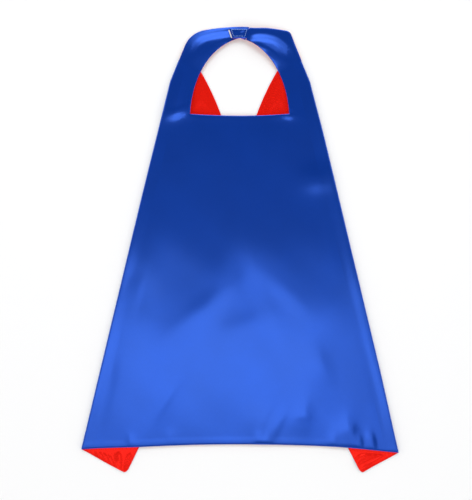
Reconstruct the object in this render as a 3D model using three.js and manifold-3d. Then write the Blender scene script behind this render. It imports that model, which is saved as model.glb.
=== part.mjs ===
// Superhero cape, laid flat: a bagged-out two-ply satin cape whose sides are folded under.
// Millimetres, +X to the wearer's right, +Y towards the neck, +Z up from the table.
// Heights are measured along +Y from the hem corners; the whole is centred on its footprint at the end.

import * as THREE from 'three';
import * as BufferGeometryUtils from 'three/addons/utils/BufferGeometryUtils.js';
import Module from 'manifold-3d';

const manifold = await Module();
manifold.setup();

// ---- Driving dimensions ----------------------------------------------------------------

// Cape outline, flat pattern
const capeHeight = 720; // hem corner to the top of the straps
const hemHalfWidth = 348; // half the hem before the sides are folded
const hemRise = 11.3; // the middle of the hem lies higher than its corners
const sideLean = 6; // inward lean of the side edge above the hem corner
const sideStraightness = 310; // how far up the side edge stays almost straight
const shoulderBulge = 54.5; // how far outside the hem's width the shoulder curve is pulled
const shoulderFall = 147; // and how far below the strap corner
const shoulderHalfWidth = 84.5; // strap corner from the centre line
const shoulderBelowTop = 11; // strap corner below the top of the straps
const shoulderRound = 8; // rounding of the strap corner

// Neck opening
const neckHalfWidth = 84;
const necklineBelowTop = 148;
const necklineSag = 3;
const strapWidthAtClosure = 19; // strap top to the top of the neck opening
const archSideHandle = 39; // how far the opening's sides stay upright
const archTopHandle = 65.5; // and how flat its top is
const archTopDrop = 19.6;

// Folds and creases
const hemTuck = 79.2; // length of hem turned under at each side
const foldKneeHalfWidth = 118.8; // where a side fold meets the strap's outer edge
const foldKneeBelowTop = 93;
const strapRootBelowTop = 63; // strap crease, on the line of the strap corner
const strapRootAngle = 28.8; // degrees, rising outwards

// Closure
const closureOverlap = 29; // tab root to tab tip
const closureRootX = 14; // tab root from the centre line
const closureWidth = 16.5;
const closureBelowTop = 12.2; // centre line of the tab
const closureRootLean = 16; // degrees
const closureTipLean = -19;
const tapeThickness = 1;
const tapeSideInset = 1.6; // tape edge from the tab's long edges
const hookTapeOverhang = 2; // hook tape past the tab tip
const tapeRootInset = 2.2; // tape end from the tab root
const loopStrapEndGap = 2.5; // end of the lower strap from the tab root
const stitchInset = 1; // stitched box from the tape's edges
const stitchWidth = 0.7;
const stitchHeight = 0.4;

// Cloth and thread
const plyThickness = 0.5;
const seamAllowanceGap = 0.9; // turned-in allowance holds shell and lining apart
const layerGap = 0.4; // folded-under side to the panel on top of it
const contactGap = 0.3; // between pieces that lie on each other
const creaseGap = 0.6; // between pieces that meet at a crease
const threadDiameter = 0.3;
const seamInset = 1.6; // seam thread from the cloth edge

// ---- Levels ----------------------------------------------------------------------------

const layerThickness = 2 * plyThickness + seamAllowanceGap;
const liningToShell = plyThickness + seamAllowanceGap;
const flapBase = 0;
const panelBase = flapBase + layerThickness + layerGap;
const panelTop = panelBase + layerThickness;
const loopTapeBase = panelTop + contactGap;
const hookTapeBase = loopTapeBase + tapeThickness + contactGap;
const tabBase = hookTapeBase + tapeThickness + contactGap;
const tabTop = tabBase + layerThickness;
const closureRise = tabBase - panelBase;

// ---- Materials -------------------------------------------------------------------------

const cloth = (color) => new THREE.MeshStandardMaterial({ color, roughness: 0.35, metalness: 0 });
const materials = {
  shell: cloth(0x1f4fc4),
  lining: cloth(0xd8180f),
  tape: new THREE.MeshStandardMaterial({ color: 0xdfe8f2, roughness: 0.9, metalness: 0 }),
  stitching: new THREE.MeshStandardMaterial({ color: 0x8fb2f0, roughness: 0.6, metalness: 0 }),
  seamThread: new THREE.MeshStandardMaterial({ color: 0x16328c, roughness: 0.6, metalness: 0 }),
};

// ---- Plane geometry --------------------------------------------------------------------

const point = (x, y) => new THREE.Vector2(x, y);
const mirrored = (points) => points.map((p) => point(-p.x, p.y)).reverse();
const onSide = (points, side) => (side > 0 ? points : mirrored(points));
const leaning = (degrees) => {
  const angle = THREE.MathUtils.degToRad(degrees);
  return point(Math.sin(angle), Math.cos(angle));
};

function cubic(a, b, c, d, divisions) {
  return new THREE.CubicBezierCurve(a, b, c, d).getPoints(divisions);
}

function quadratic(a, b, c, divisions) {
  return new THREE.QuadraticBezierCurve(a, b, c).getPoints(divisions);
}

function towards(from, to, distance) {
  return to.clone().sub(from).setLength(distance).add(from);
}

// A line in the plane with a normal that points to the side that is kept.
function crease(through, direction, keptPoint) {
  const along = direction.clone().normalize();
  const normal = point(-along.y, along.x);
  if (keptPoint.clone().sub(through).dot(normal) < 0) normal.negate();
  return { through, along, normal };
}

const flipped = ({ through, along, normal }) => ({ through, along, normal: normal.clone().negate() });
const distanceTo = ({ through, normal }, p) => p.clone().sub(through).dot(normal);

function reflect(p, line) {
  return p.clone().addScaledVector(line.normal, -2 * distanceTo(line, p));
}

// ---- Outline of the cape ---------------------------------------------------------------

const hemCorner = point(hemHalfWidth, 0);
const foldFoot = point(hemHalfWidth - hemTuck, 0);
const foldKnee = point(foldKneeHalfWidth, capeHeight - foldKneeBelowTop);
const strapCorner = point(shoulderHalfWidth, capeHeight - shoulderBelowTop);
const strapTop = point(0, capeHeight);
const neckCorner = point(neckHalfWidth, capeHeight - necklineBelowTop);
const archTop = point(0, capeHeight - strapWidthAtClosure);

// Strap's outer edge from the fold knee round the strap corner to the centre line.
function strapOuterEdge() {
  const topControl = point(shoulderHalfWidth / 2, capeHeight);
  const beforeCorner = towards(strapCorner, foldKnee, shoulderRound);
  const afterCorner = towards(strapCorner, topControl, shoulderRound);
  return [
    foldKnee,
    ...quadratic(beforeCorner, strapCorner, afterCorner, 4),
    ...quadratic(afterCorner, topControl, strapTop, 8).slice(1),
  ];
}

// Neck opening's edge from its lower corner up to the centre line.
function neckArch() {
  const sideControl = neckCorner.clone().add(point(-2, archSideHandle));
  const topControl = point(archTopHandle, archTop.y - archTopDrop);
  return cubic(neckCorner, sideControl, topControl, archTop, 14);
}

function neckline() {
  const control = point(0, neckCorner.y - 2 * necklineSag);
  return quadratic(point(-neckCorner.x, neckCorner.y), control, neckCorner, 8);
}

function hem() {
  return quadratic(point(-foldFoot.x, 0), point(0, 2 * hemRise), foldFoot, 12);
}

// Side edge of the flat pattern from the hem corner up to the strap corner.
function sideEdge() {
  const lowerControl = point(hemHalfWidth - sideLean, sideStraightness);
  const upperControl = point(hemHalfWidth + shoulderBulge, strapCorner.y - shoulderFall);
  return cubic(hemCorner, lowerControl, upperControl, strapCorner, 26);
}

// ---- Creases, for the side with positive X ----------------------------------------------

const foldLine = crease(foldFoot, foldKnee.clone().sub(foldFoot), point(0, 0));
const strapEdgeLine = crease(foldKnee, strapCorner.clone().sub(foldKnee), point(0, 0));
const strapRoot = crease(
  point(shoulderHalfWidth, capeHeight - strapRootBelowTop),
  leaning(90 - strapRootAngle),
  strapTop
);
const tabAxisHeight = capeHeight - closureBelowTop;
const tabRoot = crease(
  point(closureRootX, tabAxisHeight),
  leaning(closureRootLean),
  point(-closureRootX, tabAxisHeight)
);

const onLeft = ({ through, along, normal }) => ({
  through: point(-through.x, through.y),
  along: point(-along.x, along.y),
  normal: point(-normal.x, normal.y),
});

// ---- Solids ----------------------------------------------------------------------------

function toSolid(geometry) {
  const bare = geometry.clone();
  bare.deleteAttribute('normal');
  bare.deleteAttribute('uv');
  const merged = BufferGeometryUtils.mergeVertices(bare, 1e-4);
  return new manifold.Manifold(
    new manifold.Mesh({
      numProp: 3,
      vertProperties: new Float32Array(merged.attributes.position.array),
      triVerts: new Uint32Array(merged.index.array),
    })
  );
}

function toGeometry(solid) {
  const { vertProperties, triVerts, numProp } = solid.getMesh();
  const geometry = new THREE.BufferGeometry();
  const stride = new THREE.InterleavedBuffer(new Float32Array(vertProperties), numProp);
  geometry.setAttribute('position', new THREE.InterleavedBufferAttribute(stride, 3, 0));
  geometry.setIndex(new THREE.BufferAttribute(new Uint32Array(triVerts), 1));
  const flat = geometry.toNonIndexed();
  flat.computeVertexNormals();
  return flat;
}

function plate(outline, base, thickness, holes = []) {
  const shape = new THREE.Shape(outline);
  shape.holes = holes.map((hole) => new THREE.Path(hole));
  const geometry = new THREE.ExtrudeGeometry(shape, { depth: thickness, bevelEnabled: false });
  return geometry.translate(0, 0, base);
}

// Everything on the kept side of a crease, from the given distance outwards.
function beyond({ through, normal }, offset) {
  const reach = 4 * capeHeight;
  const block = new THREE.BoxGeometry(reach, reach, reach);
  block.translate(reach / 2 + offset, 0, 0);
  block.rotateZ(Math.atan2(normal.y, normal.x));
  block.translate(through.x, through.y, 0);
  return toSolid(block);
}

const trimmedSolid = (solid, creases) =>
  creases.reduce((left, line) => left.intersect(beyond(line, creaseGap / 2)), solid);

function trimmed(geometry, creases) {
  return toGeometry(trimmedSolid(toSolid(geometry), creases));
}

// Raises a strap evenly from its root crease so that it reaches the level of the closure tab.
function risingFrom(geometry, root) {
  const slope = closureRise / distanceTo(root, point(closureRootX, tabAxisHeight));
  const position = geometry.attributes.position;
  for (let i = 0; i < position.count; i += 1) {
    const away = distanceTo(root, point(position.getX(i), position.getY(i)));
    position.setZ(i, position.getZ(i) + slope * away);
  }
  geometry.computeVertexNormals();
  return geometry;
}

// Thread along a run of plane points, laid between shell and lining of the layer at the given base.
function seamThread(points, base) {
  const height = base + layerThickness / 2;
  const path = new THREE.CatmullRomCurve3(
    points.map((p) => new THREE.Vector3(p.x, p.y, height)),
    false,
    'centripetal'
  );
  const sides = Array.from({ length: 6 }, (_, i) => (i * Math.PI) / 3);
  const radius = threadDiameter / 2;
  const section = new THREE.Shape(sides.map((a) => point(radius * Math.cos(a), radius * Math.sin(a))));
  const steps = 2 * points.length;
  return new THREE.ExtrudeGeometry(section, { steps, extrudePath: path, bevelEnabled: false });
}

// The run of points moved sideways into the cloth, which lies to the left of the run.
function inset(points, distance) {
  return points.map((p, i) => {
    const before = points[Math.max(i - 1, 0)];
    const after = points[Math.min(i + 1, points.length - 1)];
    const along = after.clone().sub(before).normalize();
    return p.clone().add(point(-along.y, along.x).multiplyScalar(distance));
  });
}

// The corners of an open run with further points between them, so that a curve through them stays close.
function subdivided(corners, divisions) {
  const shares = Array.from({ length: divisions }, (_, i) => i / divisions);
  const sides = corners.slice(1).map((to, i) => shares.map((share) => corners[i].clone().lerp(to, share)));
  return [...sides.flat(), corners[corners.length - 1]];
}

const beyondAll = (points, creases, margin) =>
  points.filter((p) => creases.every((line) => distanceTo(line, p) > margin));

// ---- The cape's pieces -----------------------------------------------------------------

const group = new THREE.Group();

function add(name, geometry, material) {
  const mesh = new THREE.Mesh(geometry, material);
  mesh.name = name;
  group.add(mesh);
}

// Shell and lining of one part of the cape, from one outline. The shell is on top unless the part is
// folded under.
function addPlies(part, build, base, foldedUnder = false) {
  const shellBase = foldedUnder ? base : base + liningToShell;
  const liningBase = foldedUnder ? base + liningToShell : base;
  add(`shell_${part}`, build(shellBase), materials.shell);
  add(`lining_${part}`, build(liningBase), materials.lining);
}

function ringPlate(base) {
  const outer = strapOuterEdge();
  const outline = [...hem().slice(0, -1), foldFoot, ...outer, ...mirrored(outer).slice(1)];
  const arch = neckArch();
  const hole = [...neckline().slice(0, -1), ...arch, ...mirrored(arch).slice(1, -1)];
  return plate(outline, base, plyThickness, [hole]);
}

// The panel is the ring less what lies beyond each strap's root crease on that strap's own side.
function backPanel() {
  const folds = [foldLine, onLeft(foldLine)];
  const rightHalf = crease(point(0, 0), point(0, 1), point(1, 0));
  const strapBlock = beyond(strapRoot, -creaseGap / 2).intersect(beyond(rightHalf, 0));
  const build = (base) => {
    const panel = trimmedSolid(toSolid(ringPlate(base)), folds);
    return toGeometry(panel.subtract(strapBlock).subtract(strapBlock.mirror([1, 0, 0])));
  };
  addPlies('back_panel', build, panelBase);
  const hemRun = inset(hem(), seamInset);
  add('seam_hem', seamThread(beyondAll(hemRun, folds, 2 * seamInset), panelBase), materials.seamThread);
  const neckRun = [...mirrored(neckArch()), ...neckline().slice(1, -1), ...neckArch()];
  const belowStraps = (p) => distanceTo(flipped(strapRoot), point(Math.abs(p.x), p.y)) > seamInset;
  const neckSeam = inset(neckRun, -seamInset).filter(belowStraps);
  add('seam_neckline', seamThread(neckSeam, panelBase), materials.seamThread);
}

function sideFold(side, part) {
  const pattern = [foldFoot, ...sideEdge()].map((p) => reflect(p, foldLine)).reverse();
  const kept = [foldLine, strapEdgeLine, flipped(strapRoot)];
  const place = (line) => (side > 0 ? line : onLeft(line));
  const build = (base) => trimmed(plate(onSide(pattern, side), base, plyThickness), kept.map(place));
  addPlies(part, build, flapBase, true);
  const openSeam = inset([foldFoot, ...sideEdge()], seamInset);
  const seam = beyondAll(openSeam.map((p) => reflect(p, foldLine)), kept, seamInset);
  add(`seam_${part}`, seamThread(onSide(seam, side), flapBase), materials.seamThread);
}

function leftStrap() {
  const root = onLeft(strapRoot);
  const endPoint = tabRoot.through.clone().addScaledVector(tabRoot.normal, loopStrapEndGap);
  const end = { ...tabRoot, through: endPoint };
  addPlies('left_strap', (base) => trimmed(ringPlate(base), [root, end]), panelBase);
  const acrossTheTop = (half) => [...half, ...mirrored(half).slice(1)];
  const outer = beyondAll(inset(acrossTheTop(strapOuterEdge()), seamInset), [root, end], seamInset);
  const inner = beyondAll(inset(acrossTheTop(neckArch()), -seamInset), [root, end], seamInset);
  add('seam_left_strap', seamThread([...outer.reverse(), ...inner], panelBase), materials.seamThread);
}

function rightStrap() {
  const creases = [strapRoot, flipped(tabRoot)];
  const build = (base) => risingFrom(trimmed(ringPlate(base), creases), strapRoot);
  addPlies('right_strap', build, panelBase);
  const outer = beyondAll(inset(strapOuterEdge(), seamInset), creases, seamInset);
  const inner = beyondAll(inset(neckArch(), -seamInset), creases, seamInset);
  const thread = (run) => risingFrom(seamThread(run, panelBase), strapRoot);
  add('seam_right_strap_outer', thread(outer), materials.seamThread);
  add('seam_right_strap_inner', thread(inner), materials.seamThread);
}

// Four corners of the closure tab, moved in from its long sides, its root and its tip.
function tabCorners(sideInset, rootInset, tipInset) {
  const half = closureWidth / 2 - sideInset;
  const corner = (x, lean, sign) => {
    const shift = half * Math.tan(THREE.MathUtils.degToRad(lean));
    return point(x + sign * shift, tabAxisHeight + sign * half);
  };
  const rootX = closureRootX - rootInset;
  const tipX = closureRootX - closureOverlap + tipInset;
  return [
    corner(rootX, closureRootLean, -1),
    corner(rootX, closureRootLean, 1),
    corner(tipX, closureTipLean, 1),
    corner(tipX, closureTipLean, -1),
  ];
}

// A box of stitches through a tape, inside the tape's edges.
function stitchedBox(base) {
  const at = (inwards) => tabCorners(tapeSideInset + inwards, tapeRootInset + inwards, inwards);
  return plate(at(stitchInset), base, stitchHeight, [at(stitchInset + stitchWidth)]);
}

function closureTab() {
  const build = (base) => plate(tabCorners(0, creaseGap / 2, 0), base, plyThickness);
  addPlies('closure_tab', build, tabBase);
  const [rootLow, rootHigh, tipHigh, tipLow] = tabCorners(seamInset, 2 * seamInset, seamInset);
  const seam = subdivided([rootHigh, tipHigh, tipLow, rootLow], 8);
  add('seam_closure_tab', seamThread(seam, tabBase), materials.seamThread);
  const hook = tabCorners(tapeSideInset, tapeRootInset, -hookTapeOverhang);
  add('hook_tape', plate(hook, hookTapeBase, tapeThickness), materials.tape);
  add('hook_tape_stitching', stitchedBox(tabTop + contactGap), materials.stitching);
}

function loopTape() {
  const loop = tabCorners(tapeSideInset, tapeRootInset, 0);
  add('loop_tape', plate(loop, loopTapeBase, tapeThickness), materials.tape);
  add('loop_tape_stitching', stitchedBox(panelBase - contactGap - stitchHeight), materials.stitching);
}

backPanel();
sideFold(-1, 'left_side_fold');
sideFold(1, 'right_side_fold');
leftStrap();
rightStrap();
closureTab();
loopTape();

const footprint = new THREE.Box3().setFromObject(group);
const centre = footprint.getCenter(new THREE.Vector3());
group.position.set(-centre.x, -centre.y, 0);

export default group;
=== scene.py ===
"""A two-ply satin superhero cape lying face up, its sides folded under and its neck strap closed."""

import math
from types import SimpleNamespace

import bmesh
import bpy
import numpy as np
from bpy.props import FloatProperty, FloatVectorProperty, PointerProperty
from mathutils import Matrix, Vector


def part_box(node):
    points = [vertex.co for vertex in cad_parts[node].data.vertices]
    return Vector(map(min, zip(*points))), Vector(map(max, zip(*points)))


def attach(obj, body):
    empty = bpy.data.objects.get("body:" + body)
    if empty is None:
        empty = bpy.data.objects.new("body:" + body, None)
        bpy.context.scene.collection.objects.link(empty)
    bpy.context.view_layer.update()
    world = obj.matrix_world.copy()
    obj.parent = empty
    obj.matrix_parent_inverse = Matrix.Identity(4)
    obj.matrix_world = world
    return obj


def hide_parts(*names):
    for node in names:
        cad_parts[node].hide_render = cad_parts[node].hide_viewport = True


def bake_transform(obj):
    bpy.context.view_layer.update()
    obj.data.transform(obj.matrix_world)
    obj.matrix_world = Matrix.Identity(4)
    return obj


bl_info = {
    "name": "Superhero Cape",
    "version": (1, 0, 0),
    "blender": (4, 5, 0),
    "location": "View3D > Sidebar > Cape",
    "description": "Sews a satin superhero cape piece by piece and lays it on a pale table",
    "category": "Add Mesh",
}

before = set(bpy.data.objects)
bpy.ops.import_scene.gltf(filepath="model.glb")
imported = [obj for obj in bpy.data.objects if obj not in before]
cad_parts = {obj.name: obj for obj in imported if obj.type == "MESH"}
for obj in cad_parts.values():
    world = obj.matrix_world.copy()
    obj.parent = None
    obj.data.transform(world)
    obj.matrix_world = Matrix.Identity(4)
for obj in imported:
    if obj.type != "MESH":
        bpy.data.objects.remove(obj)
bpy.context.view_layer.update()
HEM_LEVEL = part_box("shell_back_panel")[0].y
MM = 0.001


# ---------------------------------------------------------------- settings


def length(name, description, default):
    """A size in metres."""
    return FloatProperty(name=name, description=description, default=default, unit="LENGTH", precision=5)


def angle(name, description, degrees):
    """An angle, written in degrees."""
    return FloatProperty(
        name=name, description=description, default=math.radians(degrees), unit="ROTATION", precision=4
    )


def colour(name, description, default):
    """A linear colour."""
    return FloatVectorProperty(
        name=name, description=description, default=default, subtype="COLOR", size=3, min=0.0, max=1.0
    )


def brightness(name, description, default):
    """A brightness or a reflectance, without a unit."""
    return FloatProperty(name=name, description=description, default=default, min=0.0)


class CapeCut(bpy.types.PropertyGroup):
    """Sizes that the two plies are cut and folded to."""

    height: length("Height", "From the hem corners to the top of the strap", 0.720)
    hem_half_width: length("Hem half width", "Half of the hem with the sides folded under", 0.2688)
    hem_rise: length("Hem rise", "Height of the hem's middle above its corners", 0.0113)
    hem_tuck: length("Hem tuck", "Width folded under at the hem", 0.0792)
    side_lean: length("Side lean", "Lean of the cut side at the hem", 0.006)
    side_straightness: length("Side straightness", "Length of the cut side's straight run", 0.310)
    shoulder_bulge: length("Shoulder bulge", "How far the cut side swells beside the shoulder", 0.0545)
    shoulder_fall: length("Shoulder fall", "Height of the swell below the shoulder corner", 0.147)
    shoulder_half_width: length("Shoulder half width", "Half of the width across the shoulders", 0.0845)
    shoulder_below_top: length("Shoulder drop", "Shoulder corner below the top", 0.011)
    right_round: length("Right shoulder rounding", "Rounding of the right shoulder corner", 0.006)
    left_round: length("Left shoulder rounding", "Rounding of the left shoulder corner", 0.024)
    right_peak: length("Right shoulder rise", "How far the right shoulder corner stands up", 0.0034)
    root_dip: length("Root dip", "Dip of the right strap's upper edge beside the tab", 0.0022)
    left_knee_ease: length("Left knee ease", "How far the left fold lies in where it meets the strap", 0.0014)
    right_side_ease: length("Right side ease", "How far the right fold swells out along its middle", 0.0018)
    left_flap_ease: length("Left flap ease", "How far the left flap lies back beside the neck", 0.0030)
    left_hem_lift: length("Left hem lift", "How far the left hem corner lies above the level", 0.0028)
    right_hem_drop: length("Right hem drop", "How far the right hem corner lies below the level", 0.0027)
    left_corner_reach: length("Left corner reach", "Extra width of the left flap at the hem", 0.0065)
    right_corner_reach: length("Right corner reach", "Extra width of the right flap at the hem", -0.0060)
    left_corner_drop: length("Left corner drop", "How far the left flap's corner slips down", 0.0008)
    right_corner_drop: length("Right corner drop", "How far the right flap's corner slips down", 0.0045)
    corner_round: length("Corner rounding", "Rounding of the corners that show past the hem", 0.0050)
    neck_half_width: length("Neck half width", "Half of the width of the neckline", 0.084)
    neck_below_top: length("Neck depth", "Neckline below the top", 0.148)
    neck_sag: length("Neckline sag", "Dip of the neckline's middle", 0.003)
    arch_side_lean: length("Arch lean", "Lean of the neck arch at its foot", 0.002)
    arch_side_handle: length("Arch side", "Upright run of the neck arch", 0.039)
    arch_top_handle: length("Arch top", "Level run of the neck arch", 0.0655)
    arch_top_drop: length("Arch drop", "Fall of the neck arch beside the closure", 0.0196)
    strap_width: length("Strap width", "Width of the strap at the closure", 0.019)
    knee_half_width: length("Knee half width", "Half of the width where the folded side bends", 0.1188)
    knee_below_top: length("Knee drop", "Bend of the folded side below the top", 0.093)
    root_half_width: length("Strap root", "Half of the width across the strap roots", 0.0845)
    root_below_top: length("Strap root drop", "Strap root below the top", 0.063)
    root_angle: angle("Strap root angle", "Slope of the crease that the strap lifts on", 28.8)
    tab_root: length("Tab root", "Tab root's distance from the middle", 0.014)
    tab_tip: length("Tab tip", "Tab tip's distance past the middle", 0.015)
    tab_width: length("Tab width", "Width of the closure tab", 0.0165)
    tab_below_top: length("Tab drop", "Tab's middle line below the top", 0.0122)
    tab_root_lean: angle("Tab root lean", "Lean of the tab's root", 16.0)
    tab_tip_lean: angle("Tab tip lean", "Lean of the tab's tip", -19.0)


class CapeCloth(bpy.types.PropertyGroup):
    """How thick the cloth is and how it lies."""

    ply_thickness: length("Ply thickness", "Thickness of one ply of satin", 0.00025)
    ply_gap: length("Ply gap", "Distance of each ply from the middle of the two", 0.0006)
    closed_gap: length("Seam gap", "Distance of each ply from the middle at a seamed edge", 0.00016)
    edge_round: length("Edge rounding", "Width over which a seamed edge rounds", 0.0030)
    upper_level: length("Upper level", "Middle of the two upper plies", 0.00325)
    under_level: length("Under level", "Middle of the two plies folded under", 0.00085)
    sag_drop: length("Sag", "Drop of the cloth between the folded-under sides", 0.0006)
    sag_run: length("Sag run", "Distance over which the cloth drops", 0.040)
    fold_strip: length("Fold strip", "Width of the strip above the fold", 0.020)
    fold_return: length("Fold return", "Width of the strip past the fold", 0.012)
    closure_rise: length("Closure rise", "Height that the right strap gains to lie on the left", 0.0048)
    relief_limit: length("Relief limit", "Highest fold of the cloth that is folded under", 0.0024)
    fold_dip: length("Fold dip", "Deepest dip of the cloth beside the fold", 0.0004)
    step: length("Mesh step", "Spacing of the mesh on the back", 0.0032)


class CapeFinish(bpy.types.PropertyGroup):
    """Colours of the cloth, thread and tape."""

    blue: colour("Blue satin", "Colour of the shell", (0.0042, 0.0555, 0.4550))
    red: colour("Red satin", "Colour of the lining", (0.9600, 0.0110, 0.0045))
    thread: colour("Seam thread", "Colour of the seam thread", (0.010, 0.035, 0.240))
    box_thread: colour("Box thread", "Colour of the closure's stitched boxes", (0.240, 0.400, 0.800))
    hooks: colour("Hook tape", "Colour of the hook tape", (0.86, 0.87, 0.90))
    loops: colour("Loop tape", "Colour of the loop tape", (0.80, 0.81, 0.85))


class CapeStage(bpy.types.PropertyGroup):
    """Camera, floor and lights."""

    camera_height: length("Camera height", "Camera above the floor", 1.80)
    view_side: length("View", "Long side of the view, at the floor", 0.850)
    aim_x: length("Aim X", "Sideways place of the camera", -0.0061)
    aim_y: length("Aim Y", "Lengthways place of the camera", -0.0009)
    floor_side: length("Floor", "Side of the floor", 16.0)
    floor_grey: brightness("Floor grey", "Reflectance of the floor", 0.895)
    spill_light: brightness("Spill", "Radiance of the ceiling round the softbox", 0.13)
    room_light: brightness("Room light", "Brightness of the pale walls", 1.50)
    ceiling_light: brightness("Ceiling", "Brightness of the dim ceiling", 0.09)
    box_light: brightness("Softbox", "Radiance of the overhead softbox", 1.25)
    inner_light: brightness("Softbox centre", "Radiance of the softbox's hot middle", 1.10)
    key_light: brightness("Key", "Radiance of the light beyond the collar", 1.7)
    glow_light: brightness("Glow", "Radiance of the wide light round it", 0.85)


# ---------------------------------------------------------------- curves


def bezier(*points, count=48):
    """Points along a Bezier curve."""
    t = np.linspace(0.0, 1.0, count + 1)[:, None]
    rows = [np.broadcast_to(np.array(p, float), (count + 1, 2)) for p in points]
    while len(rows) > 1:
        rows = [a + (b - a) * t for a, b in zip(rows, rows[1:])]
    return rows[0]


def clip(line, point, normal):
    """The part of a polyline on the side of a straight cut that the normal points to."""
    side = (line - point) @ normal
    kept = []
    for i in range(len(line)):
        if side[i] >= 0:
            kept.append(line[i])
        if i + 1 < len(line) and side[i] * side[i + 1] < 0:
            kept.append(line[i] + (line[i + 1] - line[i]) * side[i] / (side[i] - side[i + 1]))
    return np.array(kept)


def travel(line):
    """Distance along a polyline at each of its points."""
    return np.concatenate([[0.0], np.cumsum(np.hypot(*np.diff(line, axis=0).T))])


def sample(line, shares):
    """Points at shares of a polyline's length."""
    run = travel(line)
    at = np.asarray(shares) * run[-1]
    return np.stack([np.interp(at, run, line[:, k]) for k in range(line.shape[1])], axis=1)


def distance_to(points, line):
    """Distance of each point from a polyline."""
    best = np.full(len(points), 1e9)
    for a, b in zip(line, line[1:]):
        run = b - a
        size = run @ run
        if size < 1e-16:
            continue
        t = np.clip(((points - a) @ run) / size, 0.0, 1.0)
        best = np.minimum(best, np.hypot(*(points - a - t[:, None] * run).T))
    return best


def smooth(t):
    """Eases from 0 to 1."""
    t = np.clip(t, 0.0, 1.0)
    return t * t * (3.0 - 2.0 * t)


def spacing(total, step, first=(), last=()):
    """Shares from 0 to 1 of a run, even in the middle, with chosen distances (metres) from each end."""
    start = [0.0, *first]
    end = [total, *(total - x for x in last)][::-1]
    room = end[0] - start[-1]
    count = max(1, round(room / step))
    middle = [start[-1] + room * i / count for i in range(1, count)]
    return np.array([*start, *middle, *end]) / total


# Where rows of the mesh lie beside a seamed edge, which rounds, and beside a plain joint.
SEAMED = (0.0003, 0.0009, 0.0018, 0.0032)
BORDER = (0.0002,)

# Mirrors a flat place across the cape's middle.
FLIP = np.array([-1.0, 1.0])

# How far a strap's cloth starts before its crease, and how far past it the flap beneath reaches.
STRAP_START = 0.006
FLAP_REACH = 0.004


def unit(turn):
    """Direction at an angle from +X."""
    return np.array([math.cos(turn), math.sin(turn)])


def pattern():
    """Edges, folds and creases of the cape's right half as it lies."""
    c, h = bpy.context.scene.cape_cut, bpy.context.scene.cape_cloth
    p = SimpleNamespace()
    low, top = HEM_LEVEL, HEM_LEVEL + c.height
    neck = top - c.neck_below_top
    p.foot = np.array([c.hem_half_width, low])
    p.knee = np.array([c.knee_half_width, top - c.knee_below_top])
    p.along = (p.knee - p.foot) / np.hypot(*(p.knee - p.foot))
    p.inward = np.array([-p.along[1], p.along[0]])
    p.knee_travel = float(np.hypot(*(p.knee - p.foot)))
    p.hem = bezier((-c.hem_half_width, low), (0, low + 2 * c.hem_rise), (c.hem_half_width, low))
    p.neckline = bezier((-c.neck_half_width, neck), (0, neck - 2 * c.neck_sag), (c.neck_half_width, neck))
    arch = bezier(
        (c.neck_half_width, neck),
        (c.neck_half_width - c.arch_side_lean, neck + c.arch_side_handle),
        (c.arch_top_handle, top - c.strap_width - c.arch_top_drop),
        (0, top - c.strap_width),
        count=80,
    )
    corner = np.array([c.shoulder_half_width, top - c.shoulder_below_top])
    crown = np.array([c.shoulder_half_width / 2, top])
    p.outer, p.outer_side, p.outer_top = {}, {}, {}
    p.bend = {1.0: p.knee, -1.0: p.knee + c.left_knee_ease * p.inward}
    shoulders = ((1.0, c.right_round, c.right_peak, c.root_dip), (-1.0, c.left_round, 0.0, 0.0))
    for side, rounding, peak, dip in shoulders:
        tip = corner + np.array([0.3, 1.0]) * peak
        before = tip + (p.bend[side] - tip) / np.hypot(*(p.bend[side] - tip)) * rounding
        level = bezier(tip, crown, (0, top), count=60)
        level[:, 1] -= dip * smooth((0.050 - level[:, 0]) / 0.030)
        rest = level[travel(level) > rounding]
        bend = bezier(before, tip, rest[0], count=16)
        whole = np.concatenate([[p.bend[side]], bend, rest[1:]])
        p.outer[side] = np.concatenate([whole, whole[-2::-1] * FLIP])
        p.outer_side[side] = np.array([p.bend[side], tip])
        p.outer_top[side] = level
    p.half_arch = arch
    p.arch = np.concatenate([arch, arch[-2::-1] * FLIP])
    p.silhouette = np.array([p.foot, p.knee, corner])
    # the crease that the strap lifts on, and where the strap's own cloth starts
    p.crease = np.array([c.root_half_width, top - c.root_below_top])
    p.crease_along = unit(c.root_angle)
    p.crease_normal = np.array([-p.crease_along[1], p.crease_along[0]])
    p.strap_start = p.crease - STRAP_START * p.crease_normal
    # the tab and the line that it bends on
    p.tab_root = np.array([c.tab_root, top - c.tab_below_top])
    p.root_along = unit(math.pi / 2 - c.tab_root_lean)
    p.root_normal = np.array([p.root_along[1], -p.root_along[0]])
    p.tab_tip = np.array([-c.tab_tip, top - c.tab_below_top])
    p.tip_along = unit(math.pi / 2 - c.tab_tip_lean)
    # the cut side, and where it lies once folded under
    side = bezier(
        (c.hem_half_width + c.hem_tuck, low),
        (c.hem_half_width + c.hem_tuck - c.side_lean, low + c.side_straightness),
        (c.hem_half_width + c.hem_tuck + c.shoulder_bulge, corner[1] - c.shoulder_fall),
        corner,
        count=120,
    )
    out = (side - p.foot) @ -p.inward
    rise = (side - p.foot) @ p.along
    p.side_flat = np.stack([out, rise], axis=1)
    p.side_folded = p.foot + out[:, None] * p.inward + rise[:, None] * p.along
    p.flap_top = p.crease + FLAP_REACH * p.crease_normal
    p.open_edge = np.concatenate([clip(p.side_folded, p.flap_top, -p.crease_normal), [p.flap_top]])
    p.c, p.h, p.low, p.top, p.neck = c, h, low, top, neck
    return p


# ---------------------------------------------------------------- how the cloth lies

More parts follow.
